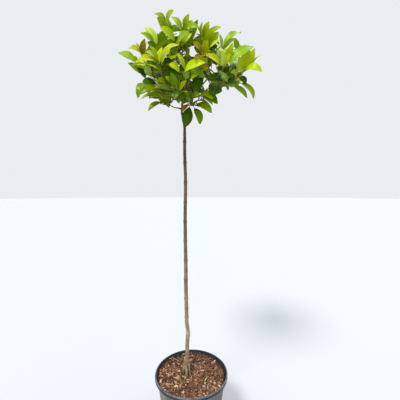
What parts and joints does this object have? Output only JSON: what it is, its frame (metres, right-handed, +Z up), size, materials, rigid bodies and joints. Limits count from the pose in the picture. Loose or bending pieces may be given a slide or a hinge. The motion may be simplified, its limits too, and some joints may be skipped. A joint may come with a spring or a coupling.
{
  "type": "potted standard laurustinus",
  "caption": "Evergreen shrub trained as a standard: one clear stem with a loose round head of glossy leaves, in a round nursery pot filled with potting bark.",
  "frame": {"origin": "middle of the pot's flat underside", "axes": "+Z up the stem, +X to the right and +Y away from someone who faces the plant's front"},
  "size_m": [0.506, 0.4926, 1.4904],
  "materials": {
    "pot_plastic": "dusty matt black, worn along the rim",
    "potting_bark": "coarse chopped bark, dull",
    "stem_bark": "pale grey-brown bark with pairs of old leaf scars",
    "bough_bark": "smooth dark brown young bark",
    "leaves": "glossy above, dull and paler beneath"
  },
  "bodies": {
    "root": {"pot": "pot_plastic", "soil": "potting_bark", "trunk": "stem_bark", "bough_low_left": "bough_bark", "bough_low_right": "bough_bark", "bough_front": "bough_bark", "bough_front_left": "bough_bark", "bough_right": "bough_bark", "bough_left": "bough_bark", "bough_front_right": "bough_bark", "bough_back_left": "bough_bark", "bough_back_right": "bough_bark", "bough_back": "bough_bark", "bough_top_left": "bough_bark", "bough_top_right": "bough_bark", "bough_top_back": "bough_bark", "foliage_top": "leaves", "foliage_top_left": "leaves", "foliage_top_right": "leaves", "foliage_top_back": "leaves", "foliage_left": "leaves", "foliage_right": "leaves", "foliage_front_left": "leaves", "foliage_front": "leaves", "foliage_front_right": "leaves", "foliage_low_left": "leaves", "foliage_low_right": "leaves", "foliage_back_left": "leaves", "foliage_back_right": "leaves", "foliage_back": "leaves"}
  },
  "joints": []
}
